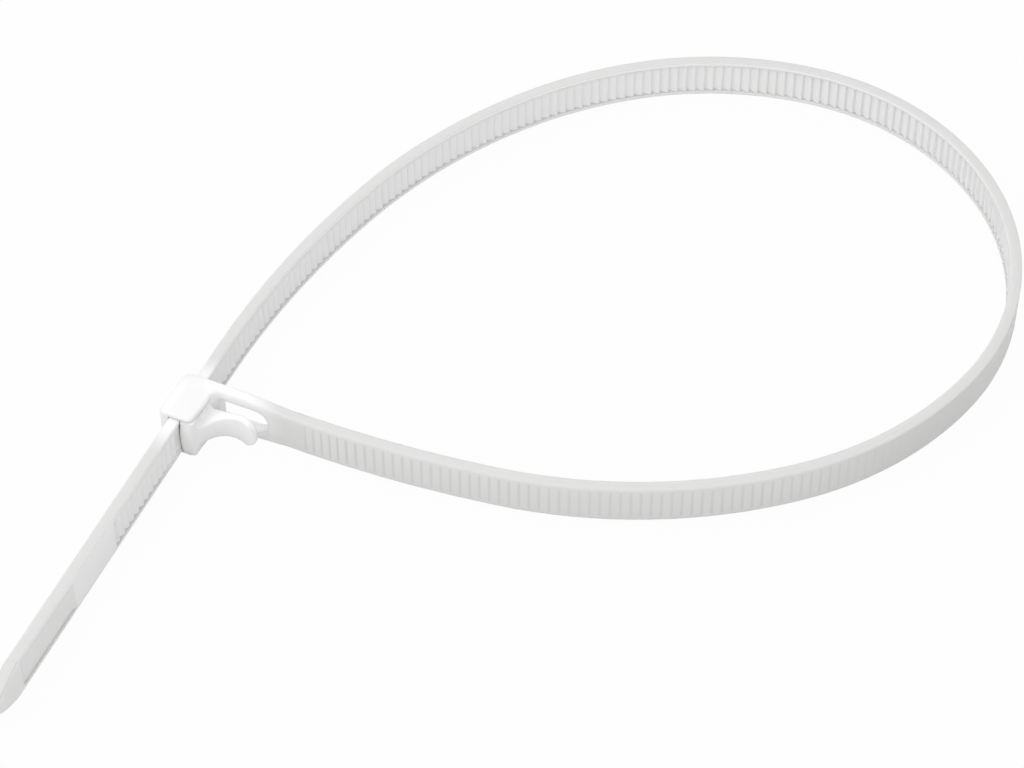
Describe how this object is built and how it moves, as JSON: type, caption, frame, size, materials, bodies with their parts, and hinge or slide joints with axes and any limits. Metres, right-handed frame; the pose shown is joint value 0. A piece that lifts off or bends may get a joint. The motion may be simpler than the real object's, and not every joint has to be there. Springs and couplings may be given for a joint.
{
  "type": "cable tie",
  "caption": "Wide releasable cable tie closed into a loop, with a toothed strap, a slotted ratchet head, a curled release lever and a windowed strap root.",
  "frame": {"origin": "point of the head's underside below the slot, on the centreline of the near run", "axes": "+Z across the strap's width, away from the surface it lies on; +X along the near run, away from the head; the tail leaves the head along -Y"},
  "size_m": [0.123, 0.1835, 0.0094],
  "materials": {
    "nylon": "natural translucent nylon with a soft satin sheen"
  },
  "bodies": {
    "root": {"cable_tie": "nylon"}
  },
  "joints": []
}
